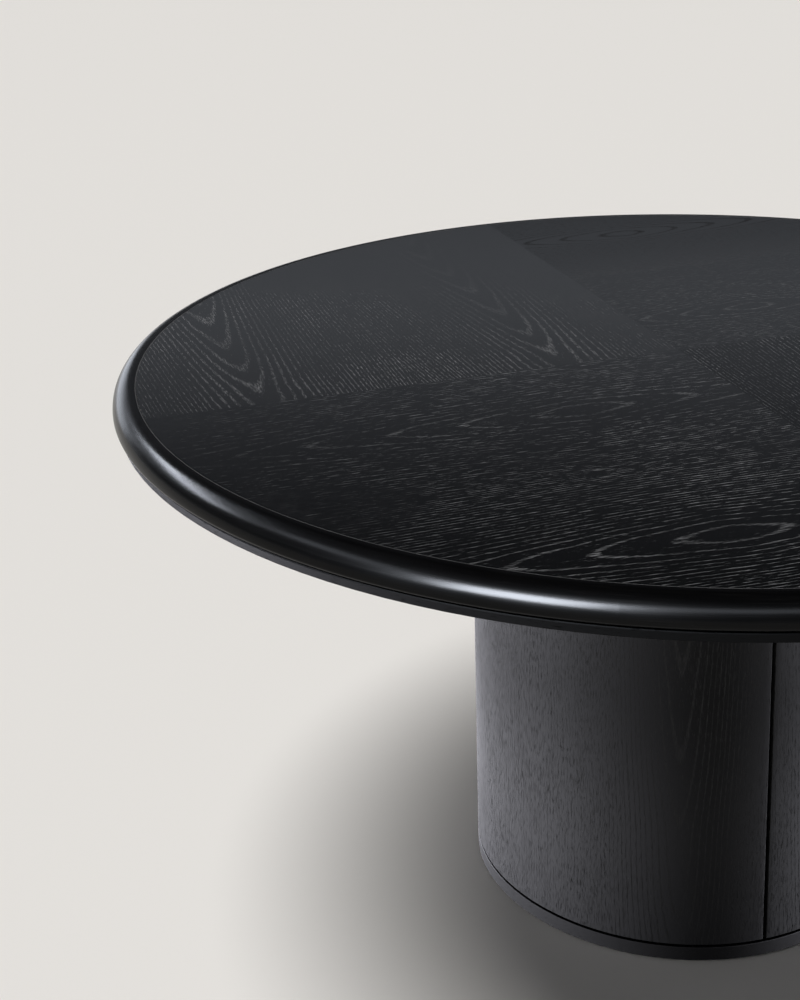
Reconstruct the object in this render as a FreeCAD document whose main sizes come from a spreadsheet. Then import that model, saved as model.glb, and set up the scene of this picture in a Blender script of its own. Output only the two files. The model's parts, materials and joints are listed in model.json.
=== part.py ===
import FreeCAD, Part
import Sketcher
import math
import os
import re

# Round cocktail table: a veneered round top with a solid rim, on a hollow drum with a plinth and levelling feet.
# The origin is on the floor at the drum's axis. X and Y run along the two seams of the top.

doc = FreeCAD.newDocument("round_cocktail_table")
sheet = doc.addObject("Spreadsheet::Sheet", "Sizes")

# Driving sizes, in millimetres
sizes = {
    # whole table
    "table_height": 454,
    "top_diameter": 914,
    "fit_gap": 0.1,  # glue line or slack between curved faces of fixed pieces
    "edge_ease": 0.6,  # small bevel on the edges that hands touch
    # top
    "core_thickness": 18,
    "veneer_thickness": 0.6,
    "rim_width": 19.5,
    "rim_round": 16.2,  # radius of the rim's upper edge
    "rim_quirk": 0.5,  # fine groove between rim and veneer
    "rim_segment_count": 6,
    "tongue_thickness": 4,
    "tongue_depth": 7,  # into the rim, and as much into the core
    "tongue_end_angle": 0.4,  # degrees left free between two tongues
    "spacer_thickness": 2.5,
    "spacer_inset": 17,
    "sub_top_thickness": 6,
    "sub_top_inset": 4.2,
    # drum
    "drum_diameter": 335,
    "shell_thickness": 12,
    "reveal_width": 3,
    "plate_thickness": 18,
    "rib_thickness": 18,
    "rib_width": 34,
    "batten_width": 44,
    "batten_depth": 18,
    # plinth
    "plinth_thickness": 12,
    "plinth_lift": 1.5,  # air between plinth and floor
    "groove_height": 2.5,
    "groove_depth": 5,
    # bolts that hold the top to the drum
    "bolt_count": 6,
    "bolt_inset": 67.5,  # from the drum's outside to the bolts
    "bolt_diameter": 8,
    "bolt_length": 40,
    "bolt_slack": 0.5,  # round a bolt that passes through a board
    "bolt_head_diameter": 16,
    "bolt_head_height": 6,
    "bolt_socket": 6,
    "bolt_socket_depth": 3.5,
    "washer_diameter": 24,
    "washer_thickness": 2,
    "insert_diameter": 12,
    "insert_length": 15,
    "thread_gap": 0.05,
    "access_diameter": 30,  # holes for the key that turns the bolts
    # screws
    "sub_top_screw_count": 12,
    "sub_top_screw_inset": 67,  # from the top's edge
    "sub_top_screw_diameter": 4,
    "sub_top_screw_length": 18,
    "batten_screw_diameter": 5,
    "batten_screw_length": 60,
    "plinth_screw_count": 6,
    "plinth_screw_inset": 57.5,  # from the plinth's edge
    "plinth_screw_diameter": 5,
    "plinth_screw_length": 28,
    # levelling feet
    "foot_count": 4,
    "foot_inset": 32.5,  # from the plinth's edge
    "pad_diameter": 30,
    "pad_thickness": 6,
    "pad_room": 2,  # between pad and the hole that it sinks into
    "pad_sink": 1,  # depth from the floor to the stem's lower end
    "stem_diameter": 8,
    "stem_length": 28,
    "stem_neck_diameter": 7,
    "stem_rivet_diameter": 10,
    "stem_rivet_thickness": 1.2,
    "stem_collar_diameter": 14,
    "stem_collar_thickness": 2,
    "stem_key": 4,  # across the flats of the key's hole
    "stem_key_depth": 4,
    "swivel_gap": 0.08,  # round the stem in its pad
    "swivel_end_gap": 0.2,
    "stop_gap": 0.3,  # between collar and plinth when the foot is fully in
}
for row, (alias, amount) in enumerate(sizes.items(), start=1):
    sheet.set(f"A{row}", alias)
    sheet.set(f"B{row}", str(amount))
    sheet.setAlias(f"B{row}", alias)
doc.recompute()

# Places worked out from the driving sizes: radii and heights above the floor
places = {
    "top_radius": "top_diameter / 2",
    "seam_radius": "top_radius - rim_width",
    "core_radius": "seam_radius - fit_gap",
    "core_top": "table_height - veneer_thickness",
    "core_bottom": "core_top - core_thickness",
    "panel_bottom": "core_bottom - veneer_thickness",
    "rim_waist": "table_height - rim_round",  # height of the rim's widest line
    "rim_under": "rim_waist - panel_bottom",  # radius of the rim's lower edge
    "tongue_top": "core_bottom + (core_thickness + tongue_thickness) / 2",
    "tongue_bottom": "tongue_top - tongue_thickness",
    "sub_top_radius": "top_radius - sub_top_inset",
    "sub_top_top": "panel_bottom - spacer_thickness",
    "drum_top": "sub_top_top - sub_top_thickness",
    "drum_radius": "drum_diameter / 2",
    "veneer_back": "drum_radius - veneer_thickness",
    "shell_outside": "veneer_back - fit_gap",
    "shell_inside": "shell_outside - shell_thickness",
    "former_radius": "shell_inside - fit_gap",
    "reveal_half": "reveal_width / 2",
    "plinth_top": "plinth_lift + plinth_thickness",
    "drum_bottom": "plinth_top + groove_height",
    "floor_plate_top": "drum_bottom + plate_thickness",
    "top_plate_bottom": "drum_top - plate_thickness",
    "rib_bottom": "(floor_plate_top + top_plate_bottom - rib_thickness) / 2",
    "batten_back": "former_radius - batten_depth",
    "batten_screw_radius": "former_radius - batten_depth / 2",
    "bolt_radius": "drum_radius - bolt_inset",
    "washer_bottom": "top_plate_bottom - washer_thickness",
    "insert_top": "core_bottom + insert_length",
    "sub_top_screw_radius": "top_radius - sub_top_screw_inset",
    "plinth_screw_radius": "drum_radius - plinth_screw_inset",
    "foot_radius": "drum_radius - foot_inset",
    "foot_insert_top": "drum_bottom + insert_length",
    "rivet_top": "pad_sink + stem_rivet_thickness",
    "collar_bottom": "pad_thickness + swivel_end_gap",
    "collar_top": "collar_bottom + stem_collar_thickness",
    "pad_recess_top": "collar_top + stop_gap",
}
boltStart = 30
screwStart = 15
footStart = 45
pieces = []


def bound(text):
    # plain names become references to the sheet, and places become their formulas
    def swap(match):
        word = match.group(0)
        if word in sizes:
            return "Sizes." + word
        if word in places:
            return "(" + bound(places[word]) + ")"
        return word
    return re.sub(r"[a-z][a-z_]*", swap, text)


def number(text):
    return float(sheet.evalExpression(bound(text)))


def newPiece(label, turn=0):
    body = doc.addObject("PartDesign::Body", label)
    body.Label = label
    body.Placement = FreeCAD.Placement(FreeCAD.Vector(), FreeCAD.Rotation(FreeCAD.Vector(0, 0, 1), turn))
    pieces.append(body)
    return body


def originFeature(body, role):
    return next(item for item in body.Origin.OriginFeatures if item.Role == role)


def newSketch(body, name, plane, lift=None, turn=0):
    # a plan sketch lifted to a height, or an upright sketch (radius, height) turned about the axis
    sketch = body.newObject("Sketcher::SketchObject", f"{body.Name}_{name}")
    sketch.AttachmentSupport = [(originFeature(body, plane), "")]
    sketch.MapMode = "FlatFace"
    sketch.AttachmentOffset = FreeCAD.Placement(
        FreeCAD.Vector(), FreeCAD.Rotation(FreeCAD.Vector(0, 1, 0), turn))
    if lift:
        sketch.setExpression("AttachmentOffset.Base.z", bound(lift))
    return sketch


def measure(sketch, constraint, text):
    index = sketch.addConstraint(constraint)
    sketch.setExpression(f"Constraints[{index}]", bound(text))


def pin(sketch, edge, end, x, y):
    # holds an edge's end at a named place, on an axis where that place is zero
    for kind, axis, text in (("DistanceX", -2, x), ("DistanceY", -1, y)):
        if text == "0":
            sketch.addConstraint(Sketcher.Constraint("PointOnObject", edge, end, axis))
        else:
            measure(sketch, Sketcher.Constraint(kind, -1, 1, edge, end, number(text)), text)


def arcBetween(start, stop, radius):
    # the short arc that runs counterclockwise from start to stop
    half = (stop - start) / 2
    side = FreeCAD.Vector(-half.y, half.x, 0).normalize()
    centre = start + half + side * math.sqrt(max(radius ** 2 - half.Length ** 2, 0))
    first = math.atan2(start.y - centre.y, start.x - centre.x)
    last = math.atan2(stop.y - centre.y, stop.x - centre.x)
    circle = Part.Circle(centre, FreeCAD.Vector(0, 0, 1), radius)
    return Part.ArcOfCircle(circle, first, last)


def outline(sketch, corners):
    # a closed outline: each corner is (x, y), or (x, y, radius) where a round edge leaves it;
    # a negative radius turns clockwise
    spots = [FreeCAD.Vector(number(corner[0]), number(corner[1]), 0) for corner in corners]
    edges = []
    for place, corner in enumerate(corners):
        start, stop = spots[place], spots[(place + 1) % len(spots)]
        if len(corner) == 2:
            edges.append((sketch.addGeometry(Part.LineSegment(start, stop), False), 1, 2))
            continue
        clockwise = corner[2].startswith("-")
        radiusText = corner[2].lstrip("-")
        ends = (stop, start) if clockwise else (start, stop)
        edge = sketch.addGeometry(arcBetween(*ends, number(radiusText)), False)
        measure(sketch, Sketcher.Constraint("Radius", edge, number(radiusText)), radiusText)
        edges.append((edge, 2, 1) if clockwise else (edge, 1, 2))
    for place, (edge, startEnd, stopEnd) in enumerate(edges):
        following, followingStart, _ = edges[(place + 1) % len(edges)]
        sketch.addConstraint(Sketcher.Constraint("Coincident", edge, stopEnd, following, followingStart))
        pin(sketch, edge, startEnd, corners[place][0], corners[place][1])


def axisLine(sketch, radius, bottom, top):
    ends = [FreeCAD.Vector(number(radius), number(height), 0) for height in (bottom, top)]
    line = sketch.addGeometry(Part.LineSegment(*ends), True)
    pin(sketch, line, 1, radius, bottom)
    pin(sketch, line, 2, radius, top)


def revolve(body, name, corners, angle=None, turn=0, axis=None, kind="PartDesign::Revolution"):
    # turns an outline about the table's axis, or about an upright line at the radius named by axis
    sketch = newSketch(body, f"{name}_outline", "XZ_Plane", turn=turn)
    outline(sketch, corners)
    if axis:
        axisLine(sketch, axis, "0", "table_height")
    feature = body.newObject(kind, f"{body.Name}_{name}")
    feature.Profile = sketch
    feature.ReferenceAxis = (sketch, ["Axis0" if axis else "V_Axis"])
    if angle:
        feature.Midplane = True
        feature.setExpression("Angle", bound(angle))
    else:
        feature.Angle = 360
    return feature


def repeatRound(body, feature, count):
    pattern = body.newObject("PartDesign::PolarPattern", f"{feature.Name}_ring")
    pattern.Originals = [feature]
    pattern.Axis = (originFeature(body, "Z_Axis"), [""])
    pattern.Angle = 360
    pattern.setExpression("Occurrences", bound(count))
    body.Tip = pattern


def drill(body, name, corners, axis, count, start):
    feature = revolve(body, name, corners, turn=start, axis=axis, kind="PartDesign::Groove")
    repeatRound(body, feature, count)


def group(label, corners, axis, count, start):
    # identical small pieces on a circle, kept as separate solids of one node
    body = newPiece(label)
    feature = revolve(body, "one", corners, turn=start, axis=axis)
    repeatRound(body, feature, count)
    return body


def extrude(body, name, lift, height, corners, kind="PartDesign::Pad"):
    sketch = newSketch(body, f"{name}_outline", "XY_Plane", lift=lift)
    outline(sketch, corners)
    feature = body.newObject(kind, f"{body.Name}_{name}")
    feature.Profile = sketch
    feature.setExpression("Length", bound(height))
    if kind == "PartDesign::Pocket":
        feature.Reversed = True
    return feature


def disc(radius, bottom, top):
    return [("0", bottom), (radius, bottom), (radius, top), ("0", top)]


def ring(inside, outside, bottom, top):
    return [(inside, bottom), (outside, bottom), (outside, top), (inside, top)]


def easedDisc(radius, bottom, top):
    # a disc with both outer edges bevelled
    return [("0", bottom), (f"{radius} - edge_ease", bottom), (radius, f"{bottom} + edge_ease"),
            (radius, f"{top} - edge_ease"), (f"{radius} - edge_ease", top), ("0", top)]


def hole(axis, radius, bottom, top):
    return ring(axis, f"{axis} + {radius}", bottom, top)


def screw(axis, seat, way, diameter, length, slack="0"):
    # half outline of a countersunk screw, or of its hole when slack is given: way is + upwards, - downwards
    shank = f"{axis} + {diameter} / 2 + {slack}"
    return [(axis, seat), (f"{shank} + {diameter} / 2", seat), (shank, f"{seat} {way} {diameter} / 2"),
            (shank, f"{seat} {way} ({length} - {diameter})"), (axis, f"{seat} {way} ({length} + {slack})")]


subTopScrew = ("sub_top_screw_radius", "drum_top", "+", "sub_top_screw_diameter", "sub_top_screw_length")
topPlateScrew = ("batten_screw_radius", "drum_top", "-", "batten_screw_diameter", "batten_screw_length")
floorPlateScrew = ("batten_screw_radius", "drum_bottom", "+", "batten_screw_diameter", "batten_screw_length")
plinthScrew = ("plinth_screw_radius", "plinth_lift", "+", "plinth_screw_diameter", "plinth_screw_length")
battenCount = "4"


def drillForSubTopScrews(body):
    corners = screw(*subTopScrew, slack="fit_gap")
    drill(body, "screw_holes", corners, subTopScrew[0], "sub_top_screw_count", screwStart)


def drillForBolts(body, bottom, top):
    corners = hole("bolt_radius", "bolt_diameter / 2 + bolt_slack", bottom, top)
    drill(body, "bolt_holes", corners, "bolt_radius", "bolt_count", boltStart)


def drillForStems(body, radius, bottom, top):
    corners = hole("foot_radius", radius, bottom, top)
    drill(body, "stem_holes", corners, "foot_radius", "foot_count", footStart)


def drillForPlinthScrews(body):
    corners = screw(*plinthScrew, slack="fit_gap")
    drill(body, "screw_holes", corners, plinthScrew[0], "plinth_screw_count", 0)


# Top: four veneer quarters on a board, with a balancing veneer below
def makeTopVeneers():
    sides = ("back", "left", "front", "right")
    for quarter, side in enumerate(sides):
        body = newPiece(f"top_veneer_{side}", 360 / len(sides) * quarter)
        extrude(body, "leaf", "core_top", "veneer_thickness",
                [("0", "0"), ("core_radius", "0", "core_radius"), ("0", "core_radius")])


def makeTopCore():
    body = newPiece("top_core")
    revolve(body, "board", [
        ("0", "core_bottom"), ("core_radius", "core_bottom"), ("core_radius", "tongue_bottom"),
        ("seam_radius - tongue_depth - fit_gap", "tongue_bottom"),
        ("seam_radius - tongue_depth - fit_gap", "tongue_top"),
        ("core_radius", "tongue_top"), ("core_radius", "core_top"), ("0", "core_top")])
    corners = hole("bolt_radius", "insert_diameter / 2 + fit_gap", "core_bottom", "insert_top")
    drill(body, "insert_holes", corners, "bolt_radius", "bolt_count", boltStart)
    drillForSubTopScrews(body)


def makeBalanceVeneer():
    body = newPiece("balance_veneer")
    revolve(body, "sheet", disc("core_radius", "panel_bottom", "core_bottom"))
    drillForBolts(body, "panel_bottom", "core_bottom")
    drillForSubTopScrews(body)


# Rim: solid segments with a rounded edge, joined to the board by loose tongues that bridge the segments' ends
def makeRim():
    section = [
        ("seam_radius", "panel_bottom"), ("top_radius - rim_under", "panel_bottom", "rim_under"),
        ("top_radius", "rim_waist", "rim_round"), ("top_radius - rim_round", "table_height"),
        ("seam_radius + rim_quirk", "table_height"), ("seam_radius", "table_height - rim_quirk"),
        ("seam_radius", "tongue_top"), ("seam_radius + tongue_depth + fit_gap", "tongue_top"),
        ("seam_radius + tongue_depth + fit_gap", "tongue_bottom"), ("seam_radius", "tongue_bottom")]
    count = int(sizes["rim_segment_count"])
    for place in range(count):
        body = newPiece(f"rim_segment_{place + 1}", 360 / count * (place + 0.5))
        revolve(body, "moulding", section, angle="360 / rim_segment_count")
    tongues = newPiece("rim_tongues")
    tongue = revolve(tongues, "one", ring("seam_radius - tongue_depth", "seam_radius + tongue_depth",
                                          "tongue_bottom", "tongue_top"),
                     angle="360 / rim_segment_count - tongue_end_angle")
    repeatRound(tongues, tongue, "rim_segment_count")


# Shadow gap and the thin board under it
def makeSubTop():
    spacer = newPiece("shadow_spacer")
    revolve(spacer, "sheet", disc("top_radius - spacer_inset", "sub_top_top", "panel_bottom"))
    board = newPiece("sub_top")
    revolve(board, "board", easedDisc("sub_top_radius", "drum_top", "sub_top_top"))
    for body, bottom, top in ((spacer, "sub_top_top", "panel_bottom"), (board, "drum_top", "sub_top_top")):
        drillForBolts(body, bottom, top)
        drillForSubTopScrews(body)
    group("sub_top_screws", screw(*subTopScrew), subTopScrew[0], "sub_top_screw_count", screwStart)


# Bolts, washers and threaded inserts that hold the top to the drum
def makeTopFixings():
    axis = "bolt_radius"
    shank = f"{axis} + bolt_diameter / 2"
    head = f"{axis} + bolt_head_diameter / 2"
    socket = f"{axis} + bolt_socket / 2"
    headBottom = "washer_bottom - bolt_head_height"
    group("top_bolts", [
        (axis, f"{headBottom} + bolt_socket_depth"), (socket, f"{headBottom} + bolt_socket_depth"),
        (socket, headBottom), (f"{head} - edge_ease", headBottom), (head, f"{headBottom} + edge_ease"),
        (head, "washer_bottom"), (shank, "washer_bottom"), (shank, "washer_bottom + bolt_length"),
        (axis, "washer_bottom + bolt_length")], axis, "bolt_count", boltStart)
    group("top_washers", ring(f"{shank} + bolt_slack", f"{axis} + washer_diameter / 2",
                              "washer_bottom", "top_plate_bottom"), axis, "bolt_count", boltStart)
    group("top_inserts", ring(f"{shank} + thread_gap", f"{axis} + insert_diameter / 2",
                              "core_bottom", "insert_top"), axis, "bolt_count", boltStart)


# Drum: bent half shells with a veneer, on two plates, a ring and four battens
def makeHalf(label, turn, inside, outside):
    insideEnd = f"sqrt(({inside}) ^ 2 - reveal_half ^ 2)"
    outsideEnd = f"sqrt(({outside}) ^ 2 - reveal_half ^ 2)"
    body = newPiece(label, turn)
    sketch = newSketch(body, "half_outline", "XY_Plane", lift="drum_bottom")
    halves = [("reveal_half", f"-{outsideEnd}", outside), (outside, "0", outside),
              ("reveal_half", outsideEnd), ("reveal_half", insideEnd, f"-{inside}"),
              (inside, "0", f"-{inside}"), ("reveal_half", f"-{insideEnd}")]
    outline(sketch, halves)
    feature = body.newObject("PartDesign::Pad", f"{label}_half")
    feature.Profile = sketch
    feature.setExpression("Length", bound("drum_top - drum_bottom"))


def makeShells():
    for side, turn in (("right", 0), ("left", 180)):
        makeHalf(f"drum_shell_{side}", turn, "shell_inside", "shell_outside")
        makeHalf(f"drum_veneer_{side}", turn, "veneer_back", "drum_radius")


def makePlates():
    top = newPiece("drum_top_plate")
    revolve(top, "board", disc("former_radius", "top_plate_bottom", "drum_top"))
    drillForBolts(top, "top_plate_bottom", "drum_top")
    drill(top, "screw_holes", screw(*topPlateScrew, slack="fit_gap"), topPlateScrew[0], battenCount, 0)
    floor = newPiece("drum_bottom_plate")
    revolve(floor, "board", disc("former_radius", "drum_bottom", "floor_plate_top"))
    corners = hole("bolt_radius", "access_diameter / 2", "drum_bottom", "floor_plate_top")
    drill(floor, "access_holes", corners, "bolt_radius", "bolt_count", boltStart)
    drillForStems(floor, "insert_diameter / 2 + fit_gap", "drum_bottom", "floor_plate_top")
    drillForPlinthScrews(floor)
    corners = screw(*floorPlateScrew, slack="fit_gap")
    drill(floor, "batten_screw_holes", corners, floorPlateScrew[0], battenCount, 0)


def makeRib():
    body = newPiece("drum_rib")
    revolve(body, "ring", ring("former_radius - rib_width", "former_radius",
                               "rib_bottom", "rib_bottom + rib_thickness"))
    notch = extrude(body, "notch", "rib_bottom", "rib_thickness", [
        ("batten_back", "-batten_width / 2"), ("drum_radius", "-batten_width / 2"),
        ("drum_radius", "batten_width / 2"), ("batten_back", "batten_width / 2")],
        kind="PartDesign::Pocket")
    repeatRound(body, notch, battenCount)


def makeBattens():
    roundEnd = "sqrt(former_radius ^ 2 - (batten_width / 2) ^ 2)"
    names = ("side_batten_right", "reveal_batten_back", "side_batten_left", "reveal_batten_front")
    for place, label in enumerate(names):
        body = newPiece(label, 360 / len(names) * place)
        extrude(body, "batten", "floor_plate_top", "top_plate_bottom - floor_plate_top", [
            ("batten_back", "-batten_width / 2"), (roundEnd, "-batten_width / 2", "former_radius"),
            (roundEnd, "batten_width / 2"), ("batten_back", "batten_width / 2")])
        for name, kind in (("top_screw_hole", topPlateScrew), ("bottom_screw_hole", floorPlateScrew)):
            revolve(body, name, screw(*kind, slack="fit_gap"), axis=kind[0], kind="PartDesign::Groove")
    group("top_plate_screws", screw(*topPlateScrew), topPlateScrew[0], battenCount, 0)
    group("bottom_plate_screws", screw(*floorPlateScrew), floorPlateScrew[0], battenCount, 0)


# Plinth, with a recessed ring above it for the shadow groove
def makePlinth():
    spacer = newPiece("plinth_spacer")
    revolve(spacer, "sheet", disc("drum_radius - groove_depth", "plinth_top", "drum_bottom"))
    plinth = newPiece("plinth")
    revolve(plinth, "board", easedDisc("drum_radius", "plinth_lift", "plinth_top"))
    for body in (spacer, plinth):
        drillForStems(body, "stem_diameter / 2 + bolt_slack", "plinth_lift", "drum_bottom")
        drillForPlinthScrews(body)
    corners = hole("foot_radius", "pad_diameter / 2 + pad_room", "plinth_lift", "pad_recess_top")
    drill(plinth, "pad_recesses", corners, "foot_radius", "foot_count", footStart)
    group("plinth_screws", screw(*plinthScrew), plinthScrew[0], "plinth_screw_count", 0)


# Levelling feet: a pad that slides up and down, and a stem that turns in it and in its threaded insert
def makePad(label, turn):
    body = newPiece(label, turn)
    axis = "foot_radius"
    edge = f"{axis} + pad_diameter / 2"
    bore = f"{axis} + stem_neck_diameter / 2 + swivel_gap"
    rivetBore = f"{axis} + stem_rivet_diameter / 2 + swivel_gap"
    revolve(body, "pad", [
        (rivetBore, "0"), (f"{edge} - edge_ease", "0"), (edge, "edge_ease"),
        (edge, "pad_thickness - edge_ease"), (f"{edge} - edge_ease", "pad_thickness"),
        (bore, "pad_thickness"), (bore, "rivet_top + swivel_end_gap"),
        (rivetBore, "rivet_top + swivel_end_gap")], axis=axis)


def makeStem(label, turn):
    body = newPiece(label, turn)
    axis = "foot_radius"
    rivet = f"{axis} + stem_rivet_diameter / 2"
    neck = f"{axis} + stem_neck_diameter / 2"
    collar = f"{axis} + stem_collar_diameter / 2"
    shank = f"{axis} + stem_diameter / 2"
    stemTop = "collar_top + stem_length"
    revolve(body, "turned", [
        (axis, "pad_sink"), (rivet, "pad_sink"), (rivet, "rivet_top"), (neck, "rivet_top"),
        (neck, "collar_bottom"), (collar, "collar_bottom"), (collar, "collar_top"), (shank, "collar_top"),
        (shank, f"{stemTop} - edge_ease"), (f"{shank} - edge_ease", stemTop), (axis, stemTop)], axis=axis)
    corner = "stem_key / sqrt(3)"
    extrude(body, "key_hole", "pad_sink", "stem_key_depth", [
        (f"{axis} + {corner} * cos({angle} deg)", f"{corner} * sin({angle} deg)")
        for angle in range(30, 390, 60)], kind="PartDesign::Pocket")


def makeFeet():
    count = int(sizes["foot_count"])
    for place in range(count):
        turn = footStart + 360 / count * place
        makePad(f"leveller_pad_{place + 1}", turn)
        makeStem(f"leveller_stem_{place + 1}", turn)
    group("leveller_inserts", ring("foot_radius + stem_diameter / 2 + thread_gap",
                                   "foot_radius + insert_diameter / 2", "drum_bottom", "foot_insert_top"),
          "foot_radius", "foot_count", footStart)


makeTopVeneers()
makeTopCore()
makeBalanceVeneer()
makeRim()
makeSubTop()
makeTopFixings()
makeShells()
makePlates()
makeRib()
makeBattens()
makePlinth()
makeFeet()
doc.recompute()

for item in doc.Objects:
    if "Invalid" in item.State or "Error" in item.State:
        raise RuntimeError(f"{item.Name} did not build: {item.State}")
for body in pieces:
    if body.Shape.isNull() or not body.Shape.isValid():
        raise RuntimeError(f"{body.Label} has no valid shape")

os.makedirs("parts", exist_ok=True)
for body in pieces:
    body.Shape.exportStep(f"parts/{body.Label}.step")
    print(body.Label, len(body.Shape.Solids), round(body.Shape.Volume))
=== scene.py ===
# Looks of a round low table in black-stained oak: a quartered top with a turned rim,
# on a drum with a plinth.
import json
import math

import bmesh
import bpy
from mathutils import Matrix, Vector

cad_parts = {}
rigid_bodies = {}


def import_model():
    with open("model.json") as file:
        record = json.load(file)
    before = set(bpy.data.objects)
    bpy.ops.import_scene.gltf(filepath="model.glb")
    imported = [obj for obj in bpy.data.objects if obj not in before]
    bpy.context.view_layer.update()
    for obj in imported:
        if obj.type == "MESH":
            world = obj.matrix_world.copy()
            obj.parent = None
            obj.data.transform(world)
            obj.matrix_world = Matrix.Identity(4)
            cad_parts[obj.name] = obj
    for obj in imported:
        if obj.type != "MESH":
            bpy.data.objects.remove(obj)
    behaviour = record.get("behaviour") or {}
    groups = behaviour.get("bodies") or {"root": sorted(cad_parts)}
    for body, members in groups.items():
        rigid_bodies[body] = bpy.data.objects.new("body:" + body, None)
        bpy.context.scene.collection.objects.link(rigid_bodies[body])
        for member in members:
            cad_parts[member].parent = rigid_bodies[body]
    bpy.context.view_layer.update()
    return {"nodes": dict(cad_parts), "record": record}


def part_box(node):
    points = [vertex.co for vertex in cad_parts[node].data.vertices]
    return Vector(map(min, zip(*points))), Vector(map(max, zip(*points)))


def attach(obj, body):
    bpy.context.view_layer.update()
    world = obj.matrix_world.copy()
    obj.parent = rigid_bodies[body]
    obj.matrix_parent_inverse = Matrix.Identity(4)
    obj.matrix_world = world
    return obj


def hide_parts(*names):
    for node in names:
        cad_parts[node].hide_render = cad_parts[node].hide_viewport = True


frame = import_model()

scene = bpy.context.scene
scene.view_settings.view_transform = "Standard"
nodes = frame["nodes"]


class Wire:  # an output socket that takes part in sums
    def __init__(self, socket):
        self.socket = socket

    @staticmethod
    def make(tree, kind, settings=None, sockets=None, out=0):  # any node: settings first, then sockets
        node = tree.nodes.new(kind)
        for key, value in (settings or {}).items():
            if key == "stops":
                Wire.setStops(node.color_ramp, value)
            else:
                setattr(node, key, value)
        for key, value in (sockets or {}).items():
            if isinstance(value, Wire):
                tree.links.new(value.socket, node.inputs[key])
            else:
                node.inputs[key].default_value = value
        return Wire(node.outputs[out])

    @staticmethod
    def setStops(ramp, stops):  # grey levels along a ramp
        ramp.interpolation = "EASE"
        while len(ramp.elements) < len(stops):
            ramp.elements.new(1.0)
        for element, (spot, level) in zip(ramp.elements, stops):
            element.position = spot
            element.color = (level, level, level, 1.0)

    def other(self, out):  # another output of the same node
        return Wire(self.socket.node.outputs[out])

    def maths(self, operation, *values):
        tree = self.socket.id_data
        return Wire.make(tree, "ShaderNodeMath", {"operation": operation}, dict(enumerate(values)))

    def __add__(self, value):
        return self.maths("ADD", self, value)

    def __sub__(self, value):
        return self.maths("SUBTRACT", self, value)

    def __rsub__(self, value):
        return self.maths("SUBTRACT", value, self)

    def __mul__(self, value):
        return self.maths("MULTIPLY", self, value)

    def __truediv__(self, value):
        return self.maths("DIVIDE", self, value)

    def __rtruediv__(self, value):
        return self.maths("DIVIDE", value, self)

    def __pow__(self, value):
        return self.maths("POWER", self, value)

    def __mod__(self, value):
        return self.maths("FLOORED_MODULO", self, value)

    def __gt__(self, value):
        return self.maths("GREATER_THAN", self, value)

    def __abs__(self):
        return self.maths("ABSOLUTE", self)

    __radd__ = __add__
    __rmul__ = __mul__

    def between(self, low, high, start=0.0, end=1.0):  # a smooth step from low to high
        tree = self.socket.id_data
        sockets = {"Value": self, "From Min": low, "From Max": high, "To Min": start, "To Max": end}
        return Wire.make(tree, "ShaderNodeMapRange", {"interpolation_type": "SMOOTHSTEP"}, sockets)


def place(tree):  # x, y and z of the surface in metres
    spot = Wire.make(tree, "ShaderNodeTexCoord", out="Object")
    parts = Wire.make(tree, "ShaderNodeSeparateXYZ", None, {0: spot})
    return parts, parts.other(1), parts.other(2)


def polar(x, y):  # angle about the table's axis and distance from it
    return x.maths("ARCTAN2", y, x), (x * x + y * y) ** 0.5


def zigzag(wire):  # one at even numbers, nought at odd ones
    return abs(wire % 2.0 - 1.0)


def waved(parts, waves):  # a place counted in waves
    return [part * wave for part, wave in zip(parts, waves)]


def noise(tree, x, y, z, detail=2.0, roughness=0.5):
    where = Wire.make(tree, "ShaderNodeCombineXYZ", None, {0: x, 1: y, 2: z})
    sockets = {"Vector": where, "Scale": 1.0, "Detail": detail, "Roughness": roughness}
    return Wire.make(tree, "ShaderNodeTexNoise", None, sockets)


def mixColour(tree, share, first, second):  # 6, 7 and output 2 are the colours of a Mix node
    return Wire.make(tree, "ShaderNodeMix", {"data_type": "RGBA"}, {0: share, 6: first, 7: second}, out=2)


def newFinish(name, plain):  # a material with its unchanging sockets set
    finish = bpy.data.materials.new(name)
    finish.use_nodes = True
    tree = finish.node_tree
    shader = tree.nodes["Principled BSDF"]
    for key, value in plain.items():
        shader.inputs[key].default_value = value
    return finish, tree, shader


def feed(shader, **wires):  # links wires to sockets, named with the spaces left out
    sockets = {socket.name.replace(" ", ""): socket for socket in shader.inputs}
    for key, wire in wires.items():
        shader.id_data.links.new(wire.socket, sockets[key])


def bump(tree, height, distance, strength):
    sockets = {"Height": height, "Distance": distance, "Strength": strength}
    return Wire.make(tree, "ShaderNodeBump", None, sockets)


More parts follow.
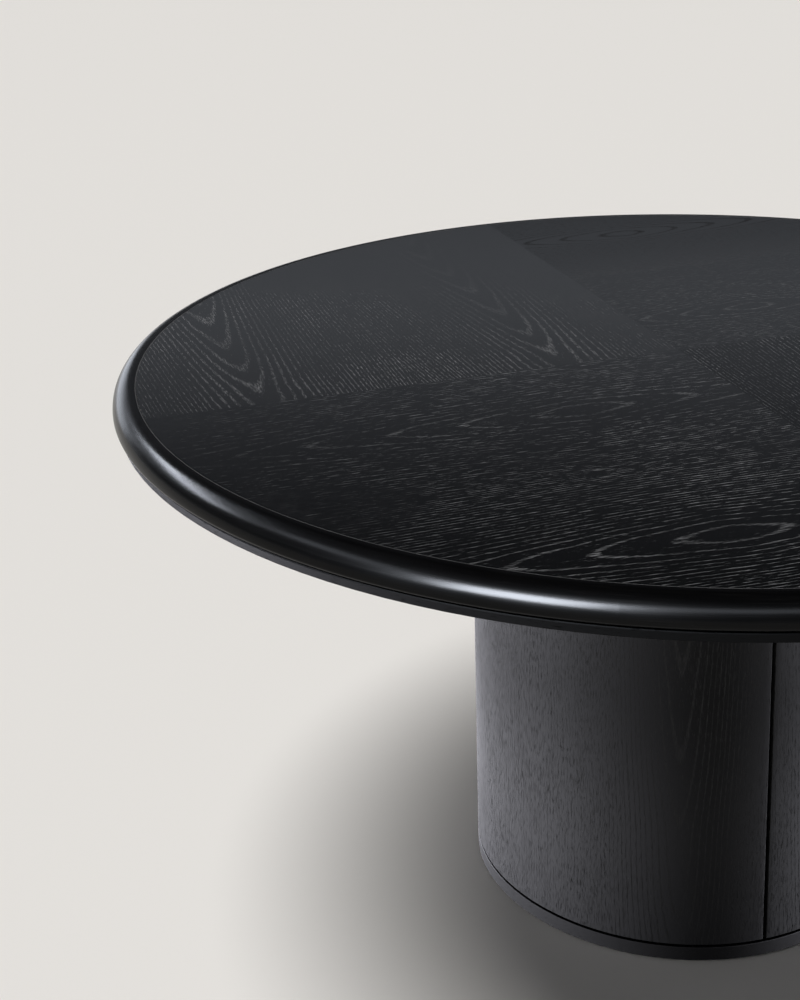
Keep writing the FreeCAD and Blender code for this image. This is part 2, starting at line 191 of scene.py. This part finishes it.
# Black-stained oak, cut flat from the log: rings show as long arches, drawn by open pores.
# A thin lacquer lies on the wood between the pores and is broken by them.
oak = {  # all waves are per metre, along the grain and across it
    "ring": 0.0029,                                       # yearly growth in the log
    "uneven": 1.6, "unevenWaves": 60.0,                   # how far the growth varies, in rings
    "sideSway": 0.010, "sideWaves": (4.0, 9.0),           # how far the rings wander across the leaf
    "deepSway": 0.005, "deepWaves": (6.0, 3.0),           # and into it
    "heartRound": 0.002,                                  # blunts the tips of the arches
    "poreWidth": 0.00040, "poreDepth": 0.00016, "poreBump": 0.5, "poreRough": 0.6,
    "opens": (0.74, 0.80),                                # where a pore begins and where it is wide open
    "scatter": 0.07,                                      # pores that stay where the rings are faint
    "patch": 0.12, "patchWaves": (22.0, 60.0),            # pores gather in patches
    "field": (0.36, 0.60), "fieldWaves": (6.0, 11.0),     # and leave larger areas bare
    "spark": (0.32, 0.68, 0.30, 1.0), "sparkWaves": (170.0, 1500.0),  # some are paler than others
    "matt": 0.6,                                          # roughness of the wood under the lacquer
}


def oakPores(tree, along, across, depth, look, seed, figure):  # share of open pore at a spot of the cut
    def cloud(waves, shift=0.0, detail=1.0):
        return noise(tree, *waved((along, across), waves), seed + shift, detail)

    side = across + (cloud(oak["sideWaves"]) - 0.5) * oak["sideSway"]
    deep = depth + (cloud(oak["deepWaves"], shift=7.0, detail=2.0) - 0.5) * oak["deepSway"]
    pointed = (side * side + oak["heartRound"] ** 2) ** 0.5 * look["peak"]
    reach = (side * side + deep * deep) ** 0.5 + pointed
    growth = noise(tree, reach * oak["unevenWaves"], seed, 0.0, detail=1.0) - 0.5
    rings = reach / oak["ring"] + growth * oak["uneven"]
    band = abs(rings % 1.0 - 0.5).between(*look["early"])
    length, width = look["poreLength"], oak["poreWidth"]
    dash = noise(tree, along / length, across / width, seed, roughness=oak["poreRough"])
    patch = cloud(oak["patchWaves"], shift=3.0, detail=2.0)
    field = cloud(oak["fieldWaves"], shift=5.0).between(*oak["field"], look["bare"], 1.0)
    spark = cloud(oak["sparkWaves"], shift=9.0).between(*oak["spark"])
    crowd = band * figure * look["crowd"] + (1 - figure) * oak["scatter"]
    pores = (dash + crowd + patch * oak["patch"] + look["open"]).between(*oak["opens"])
    return pores * field * spark


def oakFinish(name, look):
    return newFinish(name, {"Specular IOR Level": 0.0, "Roughness": oak["matt"],
                            "Coat Roughness": look["satin"], "Coat IOR": look["gloss"]})


def stain(tree, shader, pores, look, sheen):
    feed(shader, BaseColor=mixColour(tree, pores, look["dark"], look["pore"]),
         CoatWeight=(1 - pores) * sheen,
         Normal=bump(tree, 1 - pores, oak["poreDepth"], oak["poreBump"]))


# The four quarters of the top, two leaves each, matched like an open book about their joint.
topLook = {
    "leaf": 0.2187,                                # width of a leaf
    "satin": 0.17, "gloss": 1.5, "sheen": 1.0,     # roughness, IOR and share of the lacquer
    "dark": (0.0018, 0.0018, 0.0020, 1.0),         # stained wood
    "pore": (0.240, 0.241, 0.247, 1.0),            # open pores
    "shut": (0.0170, 0.0170, 0.0175, 1.0),         # pores that little light gets into
    "away": None,                                  # where they take over, outward from the joint
    "poreLength": 0.0062, "pale": 1.0,
    "early": (0.33, 0.47), "crowd": 0.19,          # part of a ring that is full of pores, and how full
    "open": 0.0, "bare": 0.45,                     # more pores all over, and what bare areas keep of them
    "full": None, "slant": 0.0,                    # how pores fade along the grain, and that line's lean
    "figure": (1.0, 1.0),                          # how well rings show in the inner and the outer leaf
    "peak": 0.03,                                  # how pointed the arches are
    "eyeRound": 0.005, "eyeBend": 0.068,           # how the cut leaves the heart to both sides of an eye
}
quarters = {  # heart: its way from the joint of the leaves, depth: from heart to cut, lean: of the cut,
    # eye: where the rings close, then what differs from the rest of the top
    "front": {"grain": "x", "heart": 0.119, "depth": 0.0538, "eye": -0.122, "lean": 0.0, "seed": 1.7,
              "eyeBend": 0.0453, "full": (-0.46, -0.10, 0.25, 1.0), "figure": (0.62, 1.0),
              "poreLength": 0.0120},
    "left": {"grain": "y", "heart": 0.122, "depth": 0.062, "eye": None, "lean": -0.045, "seed": 5.3,
             "full": (0.13, 0.35, 1.0, 0.16), "slant": 0.60, "pale": 0.70, "early": (0.22, 0.44),
             # the left quarter's lighter stain is painted sheen: the grain's shimmer toward the light
             "dark": (0.0050, 0.0050, 0.0053, 1.0)},
    "back": {"grain": "x", "heart": 0.134, "depth": 0.045, "eye": 0.110, "lean": 0.0, "seed": 9.1,
             # less lacquer on the back quarter is painted shade: darker where the grain turns from the
             # light
             "figure": (0.32, 1.0), "bare": 0.90, "sheen": 0.94, "poreLength": 0.0100, "crowd": 0.36,
             "away": (0.10, 0.32), "pore": (0.150, 0.151, 0.155, 1.0)},
    "right": {"grain": "y", "heart": 0.070, "depth": 0.075, "eye": None, "lean": 0.030, "seed": 13.9,
              # less lacquer here is painted shade, as on the back quarter
              "sheen": 0.85},
}


def quarterFinish(name, quarter):
    look = {**topLook, **quarter}
    finish, tree, shader = oakFinish("oak_top_" + name, look)
    x, y = place(tree)[:2]
    along, over = (x, y) if look["grain"] == "x" else (y, x)
    across = abs(abs(over) - look["leaf"]) - look["heart"]
    depth = along * look["lean"] + look["depth"]
    if look["eye"] is not None:
        off = along - look["eye"]
        depth = depth + (off * off + look["eyeRound"] ** 2) ** 0.5 * look["eyeBend"]
    inner, outer = look["figure"]
    figure = (abs(over) > look["leaf"]) * (outer - inner) + inner
    pores = oakPores(tree, along, across, depth, look, look["seed"], figure) * look["pale"]
    if look["full"]:
        pores = pores * (along + (look["leaf"] - abs(over)) * look["slant"]).between(*look["full"])
    if look["away"]:
        look["pore"] = mixColour(tree, abs(over).between(*look["away"]), look["pore"], look["shut"])
    stain(tree, shader, pores, look, look["sheen"])
    return finish


def dress(name, finish):  # a node keeps its mesh and takes a finish
    mesh = nodes[name].data
    mesh.materials.clear()
    mesh.materials.append(finish)


for name, quarter in quarters.items():
    dress("top_veneer_" + name, quarterFinish(name, quarter))
print("top veneers dressed")


# Meshes turned about the table's axis.
sharpFrom = 30.0  # degrees between two faces from which their edge stays sharp


def spread(start, end, steps):
    return [start + (end - start) * i / steps for i in range(steps + 1)]


def arcPoints(centre, radius, start, end, steps):  # degrees in the section's own plane
    angles = [math.radians(angle) for angle in spread(start, end, steps)]
    return [(centre[0] + radius * math.cos(a), centre[1] + radius * math.sin(a)) for a in angles]


def turned(name, section, angles, inset=None):  # section is a loop of radius and height, inset trims it
    mesh = bpy.data.meshes.new(name)
    work = bmesh.new()
    outer = max(r for r, z in section)
    rows = []
    for angle, cut in zip(angles, inset or [0.0] * len(angles)):
        reaches = [(min(r, outer - cut), z) for r, z in section]
        rows.append([work.verts.new((r * math.cos(angle), r * math.sin(angle), z)) for r, z in reaches])
    count = len(section)
    for near, far in zip(rows, rows[1:]):
        for i in range(count):
            j = (i + 1) % count
            work.faces.new((near[i], near[j], far[j], far[i]))
    work.faces.new(rows[0])
    work.faces.new(rows[-1][::-1])
    bmesh.ops.recalc_face_normals(work, faces=work.faces)
    work.to_mesh(mesh)
    work.free()
    mesh.shade_smooth()
    mesh.set_sharp_from_angle(angle=math.radians(sharpFrom))
    piece = bpy.data.objects.new(name, mesh)
    scene.collection.objects.link(piece)
    return piece


def fit(piece, node, finish):  # the piece takes the place of a node of the table
    piece.data.materials.append(finish)
    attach(piece, "table")
    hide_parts(node)


# The rim: six solid pieces with a large round above, a small one below and a fine quirk at the veneer.
rim = {
    "round": 0.0162, "lower": 0.0030, "quirk": 0.0005, "pieces": 6,
    "steps": 64, "roundSteps": 28, "lowerSteps": 8,       # facets along a piece and around its edges
    "dark": (0.0014, 0.0014, 0.0015, 1.0), "worn": (0.0036, 0.0035, 0.0035, 1.0), "wear": (0.45, 0.75),
    "line": (0.00084, 0.0012), "rubbed": (0.100, 0.100, 0.102, 1.0),  # painted highlight: a pale line along the inner edge, where the seam catches light
    "lineLeast": 0.4, "lineVaries": 0.8,                  # the painted highlight varies unevenly
    "streakWaves": (9.0, 900.0, 900.0), "cloudWaves": (14.0, 14.0, 14.0), "body": 0.1,
    "satin": 0.18, "streakRough": 0.06, "cloudRough": 0.08, "bump": (0.00006, 0.25),
}


def rimFinish():
    finish, tree, shader = newFinish("oak_rim", {"Specular IOR Level": rim["body"]})
    x, y, z = place(tree)
    angle, reach = polar(x, y)
    streak = noise(tree, *waved((angle, reach, z), rim["streakWaves"]), detail=3.0, roughness=0.6)
    cloud = noise(tree, *waved((x, y, z), rim["cloudWaves"]))
    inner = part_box("top_core")[1].x
    near, far = rim["line"]
    # painted highlight: pale colour along the rim's inner edge at the seam, uneven along its length
    line = reach.between(inner + near, inner + far, 1.0, 0.0)
    worn = cloud * rim["lineVaries"] + rim["lineLeast"]
    wood = mixColour(tree, streak.between(*rim["wear"]), rim["dark"], rim["worn"])
    feed(shader, BaseColor=mixColour(tree, line * worn, wood, rim["rubbed"]),
         Roughness=streak * rim["streakRough"] + cloud * rim["cloudRough"] + rim["satin"],
         Normal=bump(tree, streak, *rim["bump"]))
    return finish


def makeRim():
    inner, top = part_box("top_core")[1].x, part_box("top_veneer_front")[1].z
    low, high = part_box("rim_segment_1")
    bottom, outer = low.z, high.x
    lowerCentre = (outer - rim["lower"], bottom + rim["lower"])
    roundCentre = (outer - rim["round"], top - rim["round"])
    section = [(inner, bottom)]
    section += arcPoints(lowerCentre, rim["lower"], -90, 0, rim["lowerSteps"])
    section += arcPoints(roundCentre, rim["round"], 0, 90, rim["roundSteps"])
    section += [(inner + rim["quirk"], top), (inner, top - rim["quirk"])]
    finish = rimFinish()
    turn = 2 * math.pi / rim["pieces"]
    for i in range(rim["pieces"]):
        piece = turned(f"rim_piece_{i + 1}", section, spread(i * turn, (i + 1) * turn, rim["steps"]))
        fit(piece, f"rim_segment_{i + 1}", finish)


makeRim()
print("rim turned")


# The drum's veneer: two bent halves with eased edges at the reveals.
drum = {
    "gap": 0.003, "thick": 0.0006, "ease": 0.0004, "easeStep": 15, "steps": 120,
    "leaf": 0.123, "first": 0.070,                        # width of a leaf, and from reveal to first heart
    "depth": 0.050, "lean": 0.048,                        # from heart to cut at the floor, and how it falls
    "ringed": (0.030, 0.060, 1.0, 0.30),                  # rings show near the heart, loose pores beyond
    "seeds": {"left": 21.3, "right": 27.7},
    "satin": 0.68, "gloss": 1.33, "shade": (0.08, 0.24, 1.0, 0.52),  # painted shade: less lacquer toward the top, where the overhang's shadow falls
    "dark": (0.0040, 0.0040, 0.0042, 1.0), "pore": (0.040, 0.040, 0.041, 1.0),
    "poreLength": 0.0062, "early": (0.33, 0.47), "crowd": 0.26, "open": 0.10, "bare": 0.80, "peak": 0.12,
}


def drumFinish(side):
    finish, tree, shader = oakFinish("oak_drum_" + side, drum)
    x, y, z = place(tree)
    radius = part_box("drum_veneer_right")[1].x
    around = abs(x.maths("ARCTAN2", x, -1 * y)) * radius  # arc from the front reveal
    leaf = (around - drum["first"]) / drum["leaf"]
    across = zigzag(leaf + 1.0) * drum["leaf"]
    depth = drum["depth"] - z * drum["lean"]
    figure = across.between(*drum["ringed"])
    pores = oakPores(tree, z, across, depth, drum, drum["seeds"][side], figure)
    stain(tree, shader, pores, drum, z.between(*drum["shade"]))
    return finish


def makeDrum():
    outer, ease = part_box("drum_veneer_right")[1].x, drum["ease"]
    back = outer - drum["thick"]
    half = math.pi / 2 - math.asin(drum["gap"] / 2 / outer)
    turns = [math.radians(angle) for angle in range(0, 90, drum["easeStep"])]
    edge = [ease * (1 - math.cos(turn)) / outer for turn in turns]
    cuts = [ease * (1 - math.sin(turn)) for turn in turns]
    angles = [-half + e for e in edge]
    angles += spread(-half + ease / outer, half - ease / outer, drum["steps"])
    angles += [half - e for e in reversed(edge)]
    inset = cuts + [0.0] * (drum["steps"] + 1) + cuts[::-1]
    for side, centre in (("right", 0.0), ("left", math.pi)):
        low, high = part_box("drum_veneer_" + side)
        section = [(back, low.z), (outer, low.z), (outer, high.z), (back, high.z)]
        piece = turned("bent_veneer_" + side, section, [centre + angle for angle in angles], inset)
        fit(piece, "drum_veneer_" + side, drumFinish(side))


makeDrum()
print("drum bent")


# Black boards: the shadow gaps, the thin board under the rim and the plinth.
board = {"satin": 0.55, "gloss": 1.16, "waves": (60.0, 1500.0, 1500.0), "grain": (0.56, 0.74),
         "dark": (0.0036, 0.0036, 0.0037, 1.0), "pore": (0.012, 0.012, 0.0123, 1.0)}
lip = {**board, "shineOut": (0.4505, 0.4520, 0.0, 0.6),     # painted shade: no lacquer on its faces, so the shadow gap stays dark; only its edge shines
       "dark": (0.0015, 0.0015, 0.0015, 1.0), "pore": (0.0050, 0.0050, 0.0051, 1.0)}
plinth = {**board, "shineUp": (0.0130, 0.0134, 0.75, 0.0),  # painted shade: no lacquer on its upper face, so the groove stays dark
          "satin": drum["satin"], "gloss": drum["gloss"], "dark": drum["dark"], "pore": drum["pore"]}


def boardFinish(name, look):
    finish, tree, shader = oakFinish(name, look)
    x, y, z = place(tree)
    angle, reach = polar(x, y)
    grain = noise(tree, *waved((angle, reach, z), look["waves"]), detail=3.0, roughness=0.6)
    # painted shade: the lip's faces in the shadow gap and the plinth's upper face in the groove get no
    # lacquer
    sheen = 1.0
    if "shineOut" in look:
        sheen = reach.between(*look["shineOut"])
    elif "shineUp" in look:
        sheen = z.between(*look["shineUp"])
    stain(tree, shader, grain.between(*look["grain"]), look, sheen)
    return finish


# Plywood of the drum's shells and plates, stained where its ends stand at the reveals.
plywood = {
    "waves": (160.0, 12.0, 160.0), "tan": (0.60, 0.46, 0.30, 1.0), "pale": (0.72, 0.58, 0.41, 1.0),
    "ply": 0.0015, "plyEdge": (0.35, 0.65), "plyShare": 0.25, "brown": (0.40, 0.28, 0.17, 1.0),
    "ends": (0.004, 0.007, 1.0, 0.0), "roughLeast": 0.6, "roughVaries": 0.2, "bump": (0.0002, 0.3),
}


def plywoodFinish(name, stained=False):
    finish, tree, shader = newFinish(name, {})
    x, y, z = place(tree)
    figure = noise(tree, *waved((x, y, z), plywood["waves"]), detail=3.0)
    layer = zigzag(z / plywood["ply"]).between(*plywood["plyEdge"])
    tan = mixColour(tree, figure, plywood["tan"], plywood["pale"])
    wood = mixColour(tree, layer * plywood["plyShare"], tan, plywood["brown"])
    if stained:
        wood = mixColour(tree, abs(x).between(*plywood["ends"]), wood, board["dark"])
    feed(shader, BaseColor=wood, Roughness=figure * plywood["roughVaries"] + plywood["roughLeast"],
         Normal=bump(tree, figure, *plywood["bump"]))
    return finish


# Fibreboard, plated steel and nylon, each with a fine grit in two tones.
grits = {
    "fibre_board": {"waves": (900.0, 900.0, 900.0), "detail": 4.0, "metal": 0.0,
                    "dark": (0.36, 0.26, 0.17, 1.0), "pale": (0.54, 0.42, 0.29, 1.0),
                    "roughLeast": 0.75, "roughVaries": 0.15, "bump": (0.0002, 0.3)},
    "zinc_steel": {"waves": (2500.0, 2500.0, 400.0), "detail": 3.0, "metal": 1.0,
                   "dark": (0.52, 0.53, 0.54, 1.0), "pale": (0.72, 0.72, 0.70, 1.0),
                   "roughLeast": 0.25, "roughVaries": 0.2, "bump": (0.00005, 0.3)},
    "black_nylon": {"waves": (1800.0, 1800.0, 1800.0), "detail": 3.0, "metal": 0.0,
                    "dark": (0.022, 0.022, 0.023, 1.0), "pale": (0.040, 0.040, 0.041, 1.0),
                    "roughLeast": 0.48, "roughVaries": 0.15, "bump": (0.0001, 0.35)},
}


def gritFinish(name, look):
    finish, tree, shader = newFinish(name, {"Metallic": look["metal"]})
    grit = noise(tree, *waved(place(tree), look["waves"]), look["detail"])
    feed(shader, BaseColor=mixColour(tree, grit, look["dark"], look["pale"]),
         Roughness=grit * look["roughVaries"] + look["roughLeast"], Normal=bump(tree, grit, *look["bump"]))
    return finish


def dressNodes():
    finishes = {"black_board": boardFinish("black_board", board), "plywood": plywoodFinish("plywood")}
    finishes.update({slot: gritFinish(slot, look) for slot, look in grits.items()})
    stained = plywoodFinish("stained_plywood", True)
    own = {"drum_shell_left": stained, "drum_shell_right": stained,
           "plinth": boardFinish("oak_plinth", plinth), "sub_top": boardFinish("black_edge", lip)}
    for part in frame["record"]["subparts"]:
        name, slot = part["node"], part["material_slot"]
        if slot in finishes:
            dress(name, own.get(name, finishes[slot]))


dressNodes()
print("boards and fittings dressed")


# A pale floor, a high soft key from behind on the left with a fill, soft boxes for the gloss
# and a room that is pale at the horizon.
studio = {
    "floor": (0.80, 0.775, 0.74, 1.0), "floorPale": (0.808, 0.78275, 0.7474, 1.0), "floorWaves": 220.0,
    "floorReach": 20.0, "floorCells": 24, "floorGloss": 0.1, "floorRough": 0.9,
    "cool": (0.94, 1.0, 1.11),                 # tint of the room and of the rim's soft boxes
    "mild": (0.985, 0.985, 1.09),              # tint of the drum's soft boxes
    "skyTop": 40.0,                            # degrees of height at the ramp's end
    "sky": [(0.0, 0.60), (2.5, 0.22), (5.5, 0.060), (14.0, 0.060), (15.6, 0.335), (16.9, 0.365),
            (18.0, 0.245), (20.0, 0.100), (22.5, 0.046), (25.0, 0.007), (35.0, 0.004)],
}
suns = {
    "key": {"turn": 150.0, "height": 68.0, "level": 2.965, "width": 29.0},
    "fill": {"turn": -150.0, "height": 32.0, "level": 0.36, "width": 45.0},
}
onRim = ("rim_piece", "sub_top")
onDrum = ("bent_veneer", "plinth")
softBoxes = {  # turn and height in degrees about a spot, then how far, how wide and tall, and how bright
    "frontBox": {"spot": (-0.27, -0.36, 0.45), "turn": -145.0, "height": 33.5, "far": 3.0,
                 "size": (1.40, 1.30), "level": 116.0, "on": onRim},
    "tailBox": {"spot": (0.10, -0.44, 0.45), "turn": -105.0, "height": 43.0, "far": 3.0,
                "size": (1.90, 0.80), "level": 5.0, "on": onRim},
    "leftBox": {"spot": (-0.42, -0.12, 0.45), "turn": 122.0, "height": 30.5, "far": 3.0,
                "size": (1.70, 0.28), "level": 40.0, "on": onRim},
    "backBox": {"spot": (-0.33, -0.28, 0.45), "turn": 165.0, "height": 44.0, "far": 3.0,
                "size": (1.60, 0.60), "level": 5.0, "on": onRim},
    "sideBox": {"spot": (-0.45, 0.05, 0.45), "turn": 101.0, "height": 4.5, "far": 3.0,
                "size": (1.30, 0.80), "level": 2.5, "on": onRim},
    "drumBox": {"spot": (0.0, 0.0, 0.22), "turn": 167.0, "height": 2.0, "far": 2.2,
                "size": (0.90, 0.60), "level": 165.0, "on": onDrum + ("sub_top",)},
    "farBox": {"spot": (0.0, 0.0, 0.22), "turn": 110.0, "height": 2.0, "far": 2.2,
               "size": (0.90, 0.60), "level": 152.0, "on": onDrum + ("sub_top",)},
    "rightBox": {"spot": (0.0, 0.0, 0.22), "turn": -14.0, "height": 2.0, "far": 2.2,
                 "size": (0.90, 0.60), "level": 165.0, "on": onDrum},
}


def makeFloor():
    mesh = bpy.data.meshes.new("floor")
    work = bmesh.new()
    cells = studio["floorCells"]
    bmesh.ops.create_grid(work, x_segments=cells, y_segments=cells, size=studio["floorReach"])
    work.to_mesh(mesh)
    work.free()
    floor = bpy.data.objects.new("floor", mesh)
    scene.collection.objects.link(floor)
    finish, tree, shader = newFinish("pale_floor", {"Specular IOR Level": studio["floorGloss"],
                                                    "Roughness": studio["floorRough"]})
    x, y = place(tree)[:2]
    grain = noise(tree, x * studio["floorWaves"], y * studio["floorWaves"], 0.0)
    feed(shader, BaseColor=mixColour(tree, grain, studio["floor"], studio["floorPale"]))
    mesh.materials.append(finish)


def toward(look):  # the way to a lamp from what it lights
    turn, height = math.radians(look["turn"]), math.radians(look["height"])
    return Vector((math.cos(turn) * math.cos(height), math.sin(turn) * math.cos(height), math.sin(height)))


def addLamp(name, kind, way):  # a lamp that shines against the way
    lamp = bpy.data.objects.new(name, bpy.data.lights.new(name, kind))
    lamp.rotation_mode = "QUATERNION"
    lamp.rotation_quaternion = way.to_track_quat("Z", "Y")
    lamp.visible_camera = False
    scene.collection.objects.link(lamp)
    return lamp


def makeSuns():
    for name, look in suns.items():
        sun = addLamp(name, "SUN", toward(look))
        sun.data.energy = look["level"]
        sun.data.angle = math.radians(look["width"])
        sun.visible_glossy = False  # the soft boxes give the gloss


def makeBoxes():
    for name, box in softBoxes.items():
        way = toward(box)
        lamp = addLamp(name, "AREA", way)
        lamp.location = Vector(box["spot"]) + way * box["far"]
        lamp.data.shape = "RECTANGLE"
        lamp.data.size, lamp.data.size_y = box["size"]
        lamp.data.energy = box["level"] * math.pi * box["size"][0] * box["size"][1]
        lamp.data.color = studio["cool" if box["on"] == onRim else "mild"]
        lamp.visible_diffuse = False
        lit = bpy.data.collections.new(name + "Lit")
        for piece in scene.objects:
            if piece.name.startswith(box["on"]):
                lit.objects.link(piece)
        lamp.light_linking.receiver_collection = lit


def makeRoom():
    room = bpy.data.worlds.new("room")
    scene.world = room
    room.use_nodes = True
    tree = room.node_tree
    way = Wire.make(tree, "ShaderNodeTexCoord", out="Generated")
    z = Wire.make(tree, "ShaderNodeSeparateXYZ", None, {0: way}, out=2)
    height = z.maths("ARCSINE", z) / math.radians(studio["skyTop"])
    stops = [(angle / studio["skyTop"], level) for angle, level in studio["sky"]]
    level = Wire.make(tree, "ShaderNodeValToRGB", {"stops": stops}, {0: height})
    air = mixColour(tree, level, (0.0, 0.0, 0.0, 1.0), studio["cool"] + (1.0,))
    tree.links.new(air.socket, tree.nodes["Background"].inputs["Color"])


makeFloor()
makeSuns()
makeBoxes()
makeRoom()
print("studio lit")


# The photograph's camera, for a frame of 800 by 1000.
lens = {"place": (-0.63648, -1.30119, 0.93576), "heading": 13.333, "dip": 16.692, "roll": -2.748,
        "length": 66.63, "shift": (0.12, -0.20)}


def makeCamera():
    data = bpy.data.cameras.new("camera")
    data.lens = lens["length"]
    data.shift_x, data.shift_y = lens["shift"]
    camera = bpy.data.objects.new("camera", data)
    turn = Matrix.Rotation(math.radians(-lens["heading"]), 4, "Z")
    turn = turn @ Matrix.Rotation(math.radians(90 - lens["dip"]), 4, "X")
    turn = turn @ Matrix.Rotation(math.radians(lens["roll"]), 4, "Z")
    camera.matrix_world = Matrix.Translation(lens["place"]) @ turn
    scene.collection.objects.link(camera)
    scene.camera = camera


makeCamera()
print("camera placed")
